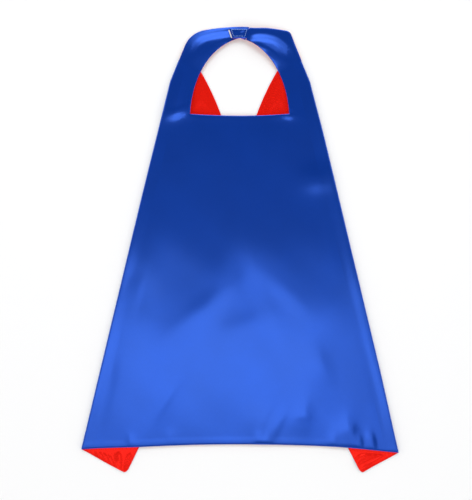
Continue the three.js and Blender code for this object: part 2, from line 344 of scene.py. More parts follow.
# Where the sheen begins across the back: x, y (mm) and the slope of the cloth there.
SWELLS = (
    (-240, -10, 0.018),
    (-205, -20, 0.014),
    (-175, -34, 0.008),
    (-150, -60, 0.002),
    (-126, -90, -0.010),
    (-104, -105, -0.015),
    (-82, -98, -0.013),
    (-57, -84, -0.007),
    (-30, -54, 0.005),
    (-14, -46, 0.011),
    (0, -40, 0.013),
    (30, -34, 0.015),
    (58, -44, 0.010),
    (87, -67, 0.000),
    (116, -96, -0.012),
    (142, -100, -0.015),
    (170, -80, -0.006),
    (205, -60, 0.004),
    (240, -45, 0.010),
)

# Soft ridges of the upper plies: x, y, direction in degrees, half length, half width, height (mm), and how
# much wider the flank on the left of that direction is.
UPPER_RIDGES = (
    (-106, 235, 24, 17, 9.5, 2.80, 1.0),
    (-105, 253, 24, 22, 14.0, 1.60, 1.0),
    (81, 229, -8, 12, 5.5, 1.50, 1.0),
    (134, 120, 8, 24, 16.0, 1.95, 1.0),
    (-84, 196, 88, 26, 3.4, -0.22, 1.0),
    (84, 196, 92, 26, 3.4, -0.22, 1.0),
    (33, -325, 4, 5, 3.4, 0.85, 3.0),
    (45, -326, -8, 4, 3.2, 0.65, 3.0),
    (60, -307, 62, 22, 5.0, 0.90, 3.0),
    (40, -290, 68, 20, 6.0, 0.45, 3.0),
    (112, -292, 88, 15, 7.5, 1.05, 2.6),
    (110, -281, 0, 9, 6.5, 0.75, 3.0),
    (186, -313, 104, 18, 8.0, 1.55, 2.6),
    (192, -302, 4, 9, 6.5, 0.70, 3.0),
    (204, -326, 98, 11, 4.0, 1.15, 2.4),
    (224, -324, 100, 14, 4.2, 1.15, 2.0),
    (160, -327, 92, 9, 4.0, 0.75, 2.4),
    (236, -262, 104, 48, 6.0, -0.50, 1.0),
    (-186, -327, -80, 9, 3.5, 0.55, 2.0),
    (-226, -246, 77, 42, 7.0, -0.42, 1.0),
    (-120, -320, -86, 10, 4.5, 0.35, 2.2),
    (-66, -104, 38, 52, 12.0, 0.36, 1.0),
    (78, -72, -43, 42, 12.0, 0.30, 1.0),
    (8, -132, 24, 30, 15.0, 0.42, 1.0),
    (142, -200, 112, 22, 9.0, 0.70, 2.2),
    (-123, -255, 61, 24, 4.6, 0.34, 1.0),
    (-138, -72, 0, 34, 50.0, -0.85, 1.0),
)

# Folds of the corners that show past the hem.
CORNER_RIDGES = (
    (205, -352, 36, 17, 1.5, 2.6, 1.0),
    (216, -361, 38, 14, 1.3, 2.6, 1.8),
    (209, -358, 44, 16, 1.2, 1.9, 1.0),
    (197, -362, 62, 9, 1.3, 2.2, 1.6),
    (230, -353, 32, 9, 1.3, 2.2, 1.0),
    (206, -371, 28, 9, 1.2, 2.0, 1.0),
    (222, -350, 30, 9, 1.1, 1.3, 1.0),
    (-204, -356, 96, 11, 2.4, 2.6, 1.6),
    (-190, -358, 70, 11, 2.0, 2.2, 1.0),
    (-217, -359, 118, 6, 1.3, 2.2, 1.0),
    (-226, -355, 120, 5, 1.2, 2.0, 1.0),
    (-235, -351, 122, 4, 1.1, 1.6, 1.0),
    (-244, -347, 122, 3, 1.0, 1.2, 1.0),
    (-206, -366, 122, 5, 1.3, 2.0, 1.0),
    (214, -362, 0, 20, 12.0, 0.6, 1.0),
)

# Soft folds of the flaps where they show beside the neck.
FLAP_RIDGES = (
    (-70, 258, 82, 30, 4.0, 1.5, 1.0),
    (-58, 244, 108, 20, 3.6, 1.2, 1.0),
    (70, 262, 98, 28, 4.0, 1.5, 1.0),
    (58, 246, 72, 22, 3.6, 1.3, 1.0),
)

# Crumples of the closure tab.
TAB_RIDGES = (
    (4.5, 366, 24, 3.4, 1.9, 0.75, 1.0),
    (-5, 364, -38, 3.4, 1.2, 0.30, 1.0),
    (7, 361.5, 70, 2.4, 1.2, 0.35, 1.0),
)


def ridges(points, rows):
    """Height of a set of soft ridges at points."""
    z = np.zeros(len(points))
    for x, y, turn, long_, wide, high, gentle in rows:
        u = unit(math.radians(turn))
        d = points - np.array([x, y]) * MM
        a, b = d @ u / (long_ * MM), d @ np.array([-u[1], u[0]]) / (wide * MM)
        b = np.where(b > 0, b / gentle, b)
        z += high * MM * np.exp(-0.5 * (a * a + b * b))
    return z


def upper_height(points, p):
    """Height of the middle of the two upper plies."""
    h = p.h
    x, y = points.T
    right = np.stack([np.abs(x), y], axis=1)
    z = np.full(len(points), h.upper_level)
    # between the two sides folded under, the cloth drops towards the table
    edge = p.open_edge
    order = np.argsort(edge[:, 1])
    edge_x = np.interp(y, edge[order, 1], edge[order, 0])
    away = np.where(right[:, 0] < edge_x, distance_to(right, edge), 0.0)
    z -= h.sag_drop * smooth(away / h.sag_run)
    # the rounded fold stands a little proud
    q = distance_to(right, p.silhouette)
    s = (right - p.foot) @ p.along
    grown = smooth((p.knee_travel + 0.020 - s) / 0.060)
    z += grown * 0.0005 * (1 - smooth((q - 0.0015) / 0.016))
    # broad swells across the middle, where the sheen begins
    across, level, lean = (np.array(row) for row in zip(*SWELLS))
    near = np.exp(-0.5 * ((x[:, None] / MM - across) / 18.0) ** 2)
    near /= near.sum(1, keepdims=True)
    d = (y - near @ level * MM) / 0.080
    z += near @ lean * 0.080 * d * np.exp(-d * d)
    # slow unevenness of cloth laid by hand
    z += 0.00022 * np.sin(x * 31 + 1.3 * np.sin(y * 9)) * np.sin(y * 17 + 0.6)
    z += 0.00010 * np.sin(x * 67 + y * 23 + 0.4) * np.sin(y * 41 - x * 12 + 1.1)
    # the seam allowances pressed inside the neckline and the hem
    turned = np.minimum(distance_to(points, p.neckline), distance_to(points, p.hem))
    z += 0.00014 * (1 - smooth((turned - 0.0085) / 0.0025))
    # the hem dips at its seam
    below = distance_to(points, p.hem)
    z -= 0.0001 * (1 - smooth(below / 0.0025))
    z += ridges(points, UPPER_RIDGES)
    # beside the fold the cloth lies on the cloth folded under it
    lowest, ease = h.upper_level - h.fold_dip, 0.00008
    held = lowest + ease * np.logaddexp(0.0, (z - lowest) / ease)
    z += (1 - smooth((q - 0.028) / 0.014)) * (held - z)
    return np.maximum(z, h.under_level + 0.0005)


def under_height(points, p):
    """Height of the middle of the two plies folded under."""
    h = p.h
    z = np.full(len(points), h.under_level)
    free = smooth((p.low - 0.001 - points[:, 1]) / 0.007)
    shown = smooth((points[:, 1] - p.neck - 0.004) / 0.020)
    relief = free * ridges(points, CORNER_RIDGES) + shown * ridges(points, FLAP_RIDGES)
    # an unfolded side lies on the table again, so no fold is higher than the side's turn allows
    return z + h.relief_limit * np.tanh(relief / h.relief_limit)


def settle(place, p):
    """How far the hem corners have slipped up or down the table from their level places."""
    x, y = place[:, 0], place[:, 1]
    slip = p.c.left_hem_lift * smooth((-x - 0.160) / 0.108) - p.c.right_hem_drop * smooth((x - 0.160) / 0.108)
    slip = slip * (1 - smooth((y - p.low) / 0.250)) * smooth((y - p.low + 0.036) / 0.036)
    return np.column_stack([slip * np.sign(x) * p.along[0] / p.along[1], slip])


def ply_offset(d, h):
    """Distance of a ply from the middle of the two, at a distance from a seamed edge."""
    t = np.clip(d / h.edge_round, 0.0, 1.0)
    return np.maximum(h.closed_gap, h.ply_gap * np.sqrt(1 - (1 - t) ** 2))


# ---------------------------------------------------------------- cloth making


def stretch(bm, bottom, top, left, right, across, up):
    """Adds a grid of cloth stretched between four edge curves."""
    nx, ny = len(across) - 1, len(up) - 1
    made = bmesh.ops.create_grid(bm, x_segments=nx, y_segments=ny, size=0.5)["verts"]
    b, t, l, r = sample(bottom, across), sample(top, across), sample(left, up), sample(right, up)
    u, v = np.asarray(across)[None, :, None], np.asarray(up)[:, None, None]
    place = (1 - v) * b[None] + v * t[None] + (1 - u) * l[:, None] + u * r[:, None]
    place -= (1 - u) * (1 - v) * b[0] + u * (1 - v) * b[-1] + (1 - u) * v * t[0] + u * v * t[-1]
    for vert in made:
        i, j = round((vert.co.x + 0.5) * nx), round((vert.co.y + 0.5) * ny)
        vert.co = (*place[j, i], 0.0)


def link(name, data):
    """A new object in the scene, at the origin."""
    made = bpy.data.objects.new(name, data)
    bpy.context.scene.collection.objects.link(made)
    return made


def finish_cloth(name, bm, lay, p, mirrored=False):
    """Turns flat cloth into a piece: keeps its flat place as a UV map, lays it, and gives it thickness."""
    bmesh.ops.remove_doubles(bm, verts=bm.verts[:], dist=2e-5)
    flat = np.array([v.co[:2] for v in bm.verts])
    area = sum(f.calc_area() for f in bm.faces)
    laid = lay(flat)
    laid[:, :2] += settle(laid, p)
    chart = bm.loops.layers.uv.new("pattern")
    for face in bm.faces:
        face.smooth = True
        for loop in face.loops:
            loop[chart].uv = loop.vert.co[:2]
    for vert, co in zip(bm.verts, laid):
        vert.co = co
    for edge in bm.edges:
        edge.smooth = not edge.is_boundary
    if mirrored:
        bmesh.ops.reverse_faces(bm, faces=bm.faces[:])
    mesh = bpy.data.meshes.new(name)
    bm.to_mesh(mesh)
    bm.free()
    piece = link(name, mesh)
    solid = piece.modifiers.new("ply thickness", "SOLIDIFY")
    solid.thickness = p.h.ply_thickness
    solid.offset = 0.0
    size = flat.max(0) - flat.min(0)
    return piece, (float(size[0]), float(size[1])), float(area)


def dress(piece, node, slot_name, material):
    """Gives a piece its finish and hides the CAD node that it stands for."""
    piece.data.materials.append(material)
    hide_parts(node)


# ---------------------------------------------------------------- materials


def material(name):
    """An empty node material and its shader."""
    made = bpy.data.materials.new(name)
    made.use_nodes = True
    tree = made.node_tree
    tree.nodes.clear()
    out = tree.nodes.new("ShaderNodeOutputMaterial")
    shader = tree.nodes.new("ShaderNodeBsdfPrincipled")
    tree.links.new(shader.outputs["BSDF"], out.inputs["Surface"])
    return made, tree, shader


def grain(tree, vector, scale, detail):
    """A noise texture read at a vector."""
    made = tree.nodes.new("ShaderNodeTexNoise")
    made.inputs["Scale"].default_value = scale
    made.inputs["Detail"].default_value = detail
    tree.links.new(vector, made.inputs["Vector"])
    return made.outputs["Fac"]


def threads(tree, chart, across, along, detail):
    """Noise drawn out along the threads of a cloth."""
    drawn = tree.nodes.new("ShaderNodeMapping")
    drawn.inputs["Scale"].default_value = (across, along, 1.0)
    tree.links.new(chart, drawn.inputs["Vector"])
    return grain(tree, drawn.outputs["Vector"], 1.0, detail)


def shades(tree, factor, tint, low, high, positions=(0.0, 1.0)):
    """A ramp from a darker to a lighter shade of a colour."""
    ramp = tree.nodes.new("ShaderNodeValToRGB")
    for stop, position, share in zip(ramp.color_ramp.elements, positions, (low, high)):
        stop.position = position
        stop.color = (*[min(1.0, share * x) for x in tint], 1.0)
    tree.links.new(factor, ramp.inputs["Fac"])
    return ramp.outputs["Color"]


def roughen(tree, shader, height, strength, distance):
    """Fine relief of the threads."""
    bump = tree.nodes.new("ShaderNodeBump")
    bump.inputs["Strength"].default_value = strength
    bump.inputs["Distance"].default_value = distance
    tree.links.new(height, bump.inputs["Height"])
    tree.links.new(bump.outputs["Normal"], shader.inputs["Normal"])


def satin(name, tint, metallic, roughness, gloss, lustre):
    """Satin: long floating warp threads, a coloured sheen and slight unevenness of dye."""
    found = bpy.data.materials.get(name)
    if found:
        return found
    made, tree, shader = material(name)
    new, join = tree.nodes.new, tree.links.new
    uv = new("ShaderNodeUVMap")
    uv.uv_map = "pattern"
    chart = uv.outputs["UV"]
    # slow change of shade across the cloth
    cloud = grain(tree, chart, 9.0, 3.0)
    # warp threads run along the cape, with slubs here and there
    warp = threads(tree, chart, 2600.0, 170.0, 2.0)
    weft = threads(tree, chart, 260.0, 2900.0, 1.0)
    mixed = new("ShaderNodeMix")
    mixed.data_type = "FLOAT"
    mixed.inputs["Factor"].default_value = 0.45
    join(cloud, mixed.inputs[2])
    join(warp, mixed.inputs[3])
    join(shades(tree, mixed.outputs[0], tint, 0.86, 1.10, (0.30, 0.72)), shader.inputs["Base Color"])
    rough = new("ShaderNodeMapRange")
    rough.inputs["To Min"].default_value = roughness - 0.03
    rough.inputs["To Max"].default_value = roughness + 0.03
    join(weft, rough.inputs["Value"])
    join(rough.outputs["Result"], shader.inputs["Roughness"])
    weave = new("ShaderNodeMath")
    weave.operation = "ADD"
    join(warp, weave.inputs[0])
    join(weft, weave.inputs[1])
    roughen(tree, shader, weave.outputs["Value"], 0.25, 0.00005)
    shader.inputs["Metallic"].default_value = metallic
    shader.inputs["Specular IOR Level"].default_value = gloss
    shader.inputs["Specular Tint"].default_value = (*lustre, 1.0)
    return made


def blue_satin():
    """Finish of the shell."""
    return satin("blue satin", bpy.context.scene.cape_finish.blue, 0.50, 0.17, 0.72, (0.62, 1.0, 1.0))


def red_satin():
    """Finish of the lining."""
    return satin("red satin", bpy.context.scene.cape_finish.red, 0.40, 0.27, 0.20, (1.0, 0.8, 0.7))


def fibre(name, tint, scale, depth):
    """Thread or tape: matt, with fine fibres."""
    found = bpy.data.materials.get(name)
    if found:
        return found
    made, tree, shader = material(name)
    place = tree.nodes.new("ShaderNodeTexCoord")
    fibres = grain(tree, place.outputs["Object"], scale, 4.0)
    tree.links.new(shades(tree, fibres, tint, 0.72, 1.12), shader.inputs["Base Color"])
    roughen(tree, shader, fibres, 0.5, depth)
    shader.inputs["Roughness"].default_value = 0.62
    shader.inputs["Sheen Weight"].default_value = 0.25
    return made


# ---------------------------------------------------------------- pieces

PLIES = (("shell", 1.0, "blue_satin", blue_satin), ("lining", -1.0, "red_satin", red_satin))
SIDES = (("right", 1.0), ("left", -1.0))


def mirror(points, side):
    """Flat points on the right or left half."""
    return points * np.array([side, 1.0])


class CAPE_OT_back_panel(bpy.types.Operator):
    """Lays the two plies of the back, from the hem to the neckline and the strap roots"""

    bl_idname = "cape.back_panel"
    bl_label = "Back panel"

    def execute(self, context):
        p = pattern()
        h, step = p.h, p.h.step
        # the back ends where the folded sides' strips begin
        cut = p.foot + h.fold_strip * p.inward
        rail = np.array([cut - 0.05 * p.along, cut + 0.80 * p.along])
        hem = clip(clip(p.hem, cut, p.inward), cut * FLIP, p.inward * FLIP)
        rail_foot = clip(rail, hem[-1], np.array([0.0, 1.0]))[0]
        hem[-1], hem[0] = rail_foot, rail_foot * FLIP
        rail = clip(rail, rail_foot, p.along)
        level = clip(rail, np.array([0.0, p.neck]), np.array([0.0, -1.0]))
        shoulder = level[-1]
        corner = p.neckline[-1]
        brow = np.concatenate([[shoulder * FLIP], p.neckline, [shoulder]])
        # columns that pass through the neck's corners
        side_run = float(np.hypot(*(shoulder - corner)))
        total = travel(brow)[-1]
        share = side_run / total
        side_columns = spacing(side_run, side_run / (round(0.060 / step)), first=BORDER, last=SEAMED) * share
        middle = spacing(total - 2 * side_run, (total - 2 * side_run) / round(0.376 / step))
        middle = middle * (1 - 2 * share) + share
        columns = np.concatenate([side_columns[:-1], middle, 1 - side_columns[::-1][1:]])
        rows = spacing(float(travel(level)[-1]), step, first=SEAMED, last=SEAMED)
        # the two parts beside the neck
        inner = clip(p.half_arch, p.strap_start, -p.crease_normal)
        outer = clip(clip(rail, shoulder, p.along), p.strap_start, -p.crease_normal)
        cap = np.array([inner[-1], outer[-1]])
        shoulder_columns = 1 - side_columns[::-1] / share
        shoulder_rows = spacing(float(travel(outer)[-1]), step, last=BORDER)
        mirrored_columns = 1 - shoulder_columns[::-1]
        seam = np.concatenate([p.neckline, clip(p.half_arch, p.crease, -p.crease_normal)])

        def lay(flat, up):
            right = np.column_stack([np.abs(flat[:, 0]), flat[:, 1]])
            d = np.minimum(distance_to(flat, p.hem), distance_to(right, seam))
            return np.column_stack([flat, upper_height(flat, p) + up * ply_offset(d, h)])

        for ply, up, slot_name, finish in PLIES:
            bm = bmesh.new()
            base = np.array([corner, shoulder])
            stretch(bm, hem, brow, level * FLIP, level, columns, rows)
            stretch(bm, base, cap, inner, outer, shoulder_columns, shoulder_rows)
            stretch(
                bm, base[::-1] * FLIP, cap[::-1] * FLIP,
                outer * FLIP, inner * FLIP, mirrored_columns, shoulder_rows,
            )
            piece, flat, area = finish_cloth(
                f"{ply}_back_panel_satin", bm, lambda flat, up=up: lay(flat, up), p
            )
            dress(piece, f"{ply}_back_panel", slot_name, finish())
            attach(piece, "back_panel")
        return {"FINISHED"}


def fold_frame(p, side):
    """How a folded side lies: a function from flat (outward, along) places, and a ply's offset, to places."""
    h = p.h
    stations = np.linspace(-0.05, 0.75, 400)
    drift = np.maximum(0.0, stations - p.knee_travel)
    lean = p.silhouette[2] - p.bend[side]
    lean = (lean @ p.inward) / (lean @ p.along)
    narrowing = drift * lean
    if side < 0:
        narrowing += p.c.left_knee_ease * smooth((stations - p.knee_travel + 0.220) / 0.240)
    else:
        swell = smooth(stations / 0.150) * (1 - smooth((stations - p.knee_travel + 0.110) / 0.120))
        narrowing -= p.c.right_side_ease * swell
    # the fold is as round as the two layers are apart, found by a few steps
    radius = np.full(len(stations), 0.002)
    for _ in range(4):
        at = p.foot + stations[:, None] * p.along + (narrowing + radius)[:, None] * p.inward
        radius = (upper_height(mirror(at, side), p) - h.under_level) / 2
    radius = np.clip(radius, 0.0011, 0.003)

    def lay(flat, offset=0.0):
        out, s = flat.T
        r = np.interp(s, stations, radius)
        inset = np.interp(s, stations, narrowing)
        top_end = -inset - r
        phi = np.clip((out - top_end) / r, 0.0, math.pi)
        over = np.maximum(0.0, top_end - out)
        past = np.maximum(0.0, out - top_end - math.pi * r)
        q = inset + r - r * np.sin(phi) + over + past
        ground = p.foot + s[:, None] * p.along + q[:, None] * p.inward
        seen = mirror(ground, side)
        top = upper_height(seen, p)
        under = under_height(seen, p)
        bend = h.under_level + r + r * np.cos(phi)
        z = np.where(phi <= 0, top, np.where(phi >= math.pi, under, bend))
        away = np.sin(phi)[:, None] * -p.inward * np.array(offset).reshape(-1, 1)
        place = mirror(ground + away, side)
        return np.column_stack([place, z + np.cos(phi) * offset])

    lay.radius = lambda s: np.interp(s, stations, radius)
    lay.inset = lambda s: np.interp(s, stations, narrowing)
    return lay


def fold_edges(p, lay, side):
    """The four edge curves of a folded side in flat (outward, along) places."""
    h = p.h

    def climb(point, normal, inward):
        """Where a straight cut lies along the fold at a distance inward."""
        return ((point - p.foot) @ normal - inward * (p.inward @ normal)) / (p.along @ normal)

    def unrolled(line):
        """Flat places of points on the underside, given as (inward, along)."""
        s = line[:, 1]
        return np.column_stack([line[:, 0] - 2 * lay.inset(s) + (math.pi - 2) * lay.radius(s), s])

    hem = clip(p.hem, p.foot + (h.fold_strip + 0.002) * p.inward, -p.inward)
    hem_flat = np.column_stack([-((hem - p.foot) @ p.inward), (hem - p.foot) @ p.along])
    hem_flat = clip(hem_flat, np.array([-h.fold_strip, 0]), np.array([1.0, 0.0]))
    reach, drop = p.c.left_corner_reach, p.c.left_corner_drop
    if side > 0:
        reach, drop = p.c.right_corner_reach, p.c.right_corner_drop
    corner = p.side_flat[0] + np.array([reach, -drop])
    side_run = p.side_folded - p.foot
    free = np.column_stack([side_run @ p.inward, side_run @ p.along])
    free[:, 0] += reach * (1 - smooth(free[:, 1] / 0.180))
    if side < 0:
        free[:, 0] -= p.c.left_flap_ease * smooth((free[:, 1] - 0.46) / 0.10)
    normal = np.array([p.inward @ p.crease_normal, p.along @ p.crease_normal])
    free = clip(free, np.array([0.0, climb(p.flap_top, p.crease_normal, 0.0)]), -normal)
    free_flat = unrolled(free)
    # the hem turns the corner in a small round
    run = hem_flat[-1] + (corner - hem_flat[-1]) * (1 - p.c.corner_round / np.hypot(*(corner - hem_flat[-1])))
    rest = free_flat[travel(free_flat) > p.c.corner_round]
    turn = bezier(run, corner, rest[0], count=16)
    hem_line = np.concatenate([hem_flat, turn[:9]])
    free_flat = np.concatenate([turn[8:], rest[1:]])
    s0 = climb(p.strap_start, p.crease_normal, h.fold_strip)
    r, n = lay.radius(s0), lay.inset(s0)
    s1 = climb(p.strap_start, p.crease_normal, n + r)
    s2 = climb(p.flap_top, p.crease_normal, n + r)
    top_line = np.array([[-h.fold_strip, s0], [-n - r, s1], [-n - r + math.pi * r, s2], free_flat[-1]])
    return hem_line, free_flat, top_line


def between(line, low, high):
    """The part of a flat line between two outward distances."""
    part = clip(line, np.array([low, 0.0]), np.array([1.0, 0.0]))
    return clip(part, np.array([high, 0.0]), np.array([-1.0, 0.0]))


# Width that the flap's columns are spaced for, and closer rows near the hem, where its corner shows.
FLAP_WIDTH = 0.110
FLAP_HEM_ROWS = np.arange(0.0042, 0.050, 0.0010)


class CAPE_OT_side_folds(bpy.types.Operator):
    """Folds the two sides under: a rounded fold along each side and a flap beneath the back"""

    bl_idname = "cape.side_folds"
    bl_label = "Side folds"

    def execute(self, context):
        p = pattern()
        h = p.h
        border = h.fold_return
        # columns of the strip, close together round the bend
        bend = math.pi * 0.0022
        total = h.fold_strip + border
        columns = [0.0, BORDER[0], 0.0035, 0.0070, 0.0098]
        columns += list(np.linspace(h.fold_strip - 0.0080, h.fold_strip - 0.0015 + bend, 30))
        columns += [h.fold_strip + 0.0005 + bend, total - 0.0030, total - BORDER[0], total]
        columns = np.array(columns) / total
        flap_columns = spacing(FLAP_WIDTH, h.step / 3, first=BORDER, last=SEAMED)
        for name, side in SIDES:
            lay = fold_frame(p, side)
            hem, free, top = fold_edges(p, lay, side)
            edge = np.concatenate([hem, free])
            strip = [between(line, -h.fold_strip, border) for line in (hem, top)]
            flap = [between(line, border, 1.0) for line in (hem, top)]
            rail = np.array([strip[0][0], strip[1][0]])
            joint = np.array([strip[0][-1], strip[1][-1]])
            tall = float(travel(rail)[-1])
            rows = spacing(tall, h.step, first=SEAMED, last=BORDER)
            flap_rows = spacing(tall, h.step, first=(*SEAMED, *FLAP_HEM_ROWS), last=(0.0010,))
            parts = (
                ("fold", strip, rail, joint, columns, rows),
                ("flap", flap, joint, free, flap_columns, flap_rows),
            )
            for ply, up, slot_name, finish in PLIES:
                for part, (low, high), left, right, across, upward in parts:
                    bm = bmesh.new()
                    stretch(bm, low, high, left, right, across, upward)

                    def place(flat, up=up, lay=lay, edge=edge):
                        return lay(flat, up * ply_offset(distance_to(flat, edge), h))

                    piece, flat, area = finish_cloth(
                        f"{ply}_{name}_side_{part}_satin", bm, place, p, mirrored=side < 0
                    )
                    dress(piece, f"{ply}_{name}_side_fold", slot_name, finish())
                    if part == "fold":
                        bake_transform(piece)
                    else:
                        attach(piece, f"{name}_side_fold")
        return {"FINISHED"}


def strap_shares(flat, edges):
    """Distances to a strap's inner edge and tip, and the share of the way from its root to its tip."""
    inner, _, root, tip = edges
    d_root, d_tip = distance_to(flat, root), distance_to(flat, tip)
    return distance_to(flat, inner), d_tip, d_root / np.maximum(d_root + d_tip, 1e-9)


def strap_height(flat, d_in, b, p, side):
    """Height of the middle of a strap's plies, from its inner edge's distance and the share along it."""
    z = upper_height(mirror(flat, side), p)
    # distance from the outer edge, eased round the shoulder corner
    ease = 0.007 if side < 0 else 0.012
    near = [np.exp(-distance_to(flat, line[side]) / ease) for line in (p.outer_side, p.outer_top)]
    d = np.maximum(0.0, -ease * np.log(near[0] + near[1]) + 0.001)
    # the outer edge settles on the table and the cloth swells up towards the neck
    if side < 0:
        rise = smooth((b + 0.02) / 0.42) * (1 - smooth((b - 0.66) / 0.26))
        crown = 0.0052 * smooth((d - 0.0010) / 0.0240) + 0.00011 * np.sin(d * 900 + 5 * b)
    else:
        rise = smooth((b + 0.01) / 0.42) * smooth((1 - b) / 0.18)
        crown = 0.0066 * smooth((d - 0.0055) / 0.0290) + 0.00008 * np.sin(d * 700 - 4 * b)
        z = z + p.h.closure_rise * smooth((b - 0.30) / 0.62)
    return z + rise * (crown * (0.85 + 0.15 * smooth(d_in / 0.010)) - 0.0018)


def strap_edges(p, side):
    """Inner and outer edge, root and tip of a strap, on the right-hand pattern."""
    if side > 0:
        end, normal = p.tab_root, p.root_normal
    else:
        end, normal = (p.tab_root - 0.0012 * p.root_normal) * FLIP, -p.root_normal * FLIP
    inner, outer = (
        clip(clip(line, p.strap_start, p.crease_normal), end, normal) for line in (p.arch, p.outer[side])
    )
    return inner, outer, np.array([inner[0], outer[0]]), np.array([inner[-1], outer[-1]])


class CAPE_OT_straps(bpy.types.Operator):
    """Lays the two neck straps, the right one rising over the left at the closure"""

    bl_idname = "cape.straps"
    bl_label = "Neck straps"

    def execute(self, context):
        p = pattern()
        for name, side in SIDES:
            edges = strap_edges(p, side)
            inner, outer, root, tip = edges
            across = spacing(0.024, 0.0014, first=SEAMED, last=SEAMED)
            last = SEAMED if side < 0 else BORDER
            up = spacing(float(travel(outer)[-1]), 0.0016, first=BORDER, last=last)

            def place(flat, sign, side=side, edges=edges):
                d_in, d_tip, b = strap_shares(flat, edges)
                z = strap_height(flat, d_in, b, p, side)
                d = np.minimum(d_in, distance_to(flat, edges[1]))
                # the left strap ends in a seam, and the right one only beside the tab
                beside_tab = np.abs((flat - p.tab_root) @ p.root_along) > p.c.tab_width / 2
                d = np.where(beside_tab | (side < 0), np.minimum(d, d_tip), d)
                return np.column_stack([mirror(flat, side), z + sign * ply_offset(d, p.h)])

            for ply, sign, slot_name, finish in PLIES:
                bm = bmesh.new()
                stretch(bm, root, tip, inner, outer, across, up)
                piece, flat, area = finish_cloth(
                    f"{ply}_{name}_strap_satin", bm,
                    lambda flat, place=place, sign=sign: place(flat, sign), p, mirrored=side < 0,
                )
                dress(piece, f"{ply}_{name}_strap", slot_name, finish())
                bend_strap(piece)
        return {"FINISHED"}


def bend_strap(piece):
    """Bakes the transform of a strap piece into its mesh."""
    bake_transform(piece)


def tab_lines(p):
    """Root and tip of the closure tab, flat."""
    half = p.c.tab_width / 2

    def at(point, along, offset):
        return point + along * offset / along[1]

    root = np.array([at(p.tab_root, p.root_along, -half), at(p.tab_root, p.root_along, half)])
    tip = np.array([at(p.tab_tip, p.tip_along, -half), at(p.tab_tip, p.tip_along, half)])
    return root, tip


def upper_strap_end(p):
    """Middle height of the right strap where the tab starts."""
    return p.h.upper_level + p.h.closure_rise


class CAPE_OT_closure_tab(bpy.types.Operator):
    """Lays the closure tab that continues the right strap over the left one"""

    bl_idname = "cape.closure_tab"
    bl_label = "Closure tab"

    def execute(self, context):
        p = pattern()
        root, tip = tab_lines(p)
        across = spacing(p.c.tab_width, 0.0012, first=SEAMED, last=SEAMED)
        up = spacing(0.030, 0.0012, first=BORDER, last=SEAMED)
        level = upper_strap_end(p)
        sides = [np.array([root[0], tip[0]]), np.array([root[1], tip[1]])]

        def place(flat, sign):
            d = np.minimum.reduce([distance_to(flat, edge) for edge in (*sides, tip)])
            z = level + ridges(flat, TAB_RIDGES) * smooth(d / 0.002) + sign * ply_offset(d, p.h)
            return np.column_stack([flat, z])

        for ply, sign, slot_name, finish in PLIES:
            bm = bmesh.new()
            stretch(bm, root, tip, sides[0], sides[1], across, up)
            piece, flat, area = finish_cloth(
                f"{ply}_closure_tab_satin", bm, lambda flat, sign=sign: place(flat, sign), p, mirrored=True
            )
            dress(piece, f"{ply}_closure_tab", slot_name, finish())
            bend_tab(piece, p)
        return {"FINISHED"}


def bend_tab(piece, p):
    """Bakes the transform of a tab piece into its mesh."""
    start, end = p.tab_root + 0.0005 * p.root_normal, p.tab_root - 0.0050 * p.root_normal
    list(start)
    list(end)
    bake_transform(piece)


def small_part(name, bm, node, slot_name, finish):
    """Turns a bmesh into a smooth piece that stands for a CAD node."""
    for face in bm.faces:
        face.smooth = True
    mesh = bpy.data.meshes.new(name)
    bm.to_mesh(mesh)
    bm.free()
    piece = link(name, mesh)
    dress(piece, node, slot_name, finish)
    return piece


def travel3(line):
    """Distance along a line in space at each of its points."""
    return np.concatenate([[0.0], np.cumsum(np.linalg.norm(np.diff(line, axis=0), axis=1))])


def sew(bm, path, stitch, gap, width, high, detail=1):
    """Lays single stitches along a path in space."""
    run = travel3(path)
    count = max(1, int(round(run[-1] / (stitch + gap))))
    for i in range(count):
        middle = (i + 0.5) / count * run[-1]
        ends = [middle - stitch / 2, middle + stitch / 2]
        a, b = (Vector([np.interp(e, run, path[:, k]) for k in range(3)]) for e in ends)
        turn = (b - a).to_track_quat("X", "Z").to_matrix().to_4x4()
        size = Matrix.Diagonal((stitch / 2, width / 2, high / 2, 1.0))
        bmesh.ops.create_icosphere(
            bm, subdivisions=detail, radius=1.0, matrix=Matrix.Translation((a + b) / 2) @ turn @ size
        )


def beside(line, distance):
    """A flat line moved sideways, to the left of its direction."""
    run = np.gradient(line, axis=0)
    run /= np.maximum(np.hypot(*run.T), 1e-12)[:, None]
    return line + np.column_stack([-run[:, 1], run[:, 0]]) * distance


def tape_lines(p, root_inset, tip_inset, side_inset):
    """Corners of a tape or stitched box on the tab, from its root to its tip, lower edge first."""
    half = p.c.tab_width / 2 - side_inset
    root = p.tab_root - root_inset * p.root_normal
    tip_normal = np.array([p.tip_along[1], -p.tip_along[0]])
    tip = p.tab_tip + tip_inset * tip_normal
    rows = []
    for point, along in ((root, p.root_along), (tip, p.tip_along)):
        rows.append([point - along * half / along[1], point + along * half / along[1]])
    return np.array(rows)


TAPE_BASE = 0.00035  # thickness of a tape's woven base
TAPE_PITCH = 0.00105  # distance between hooks or loops


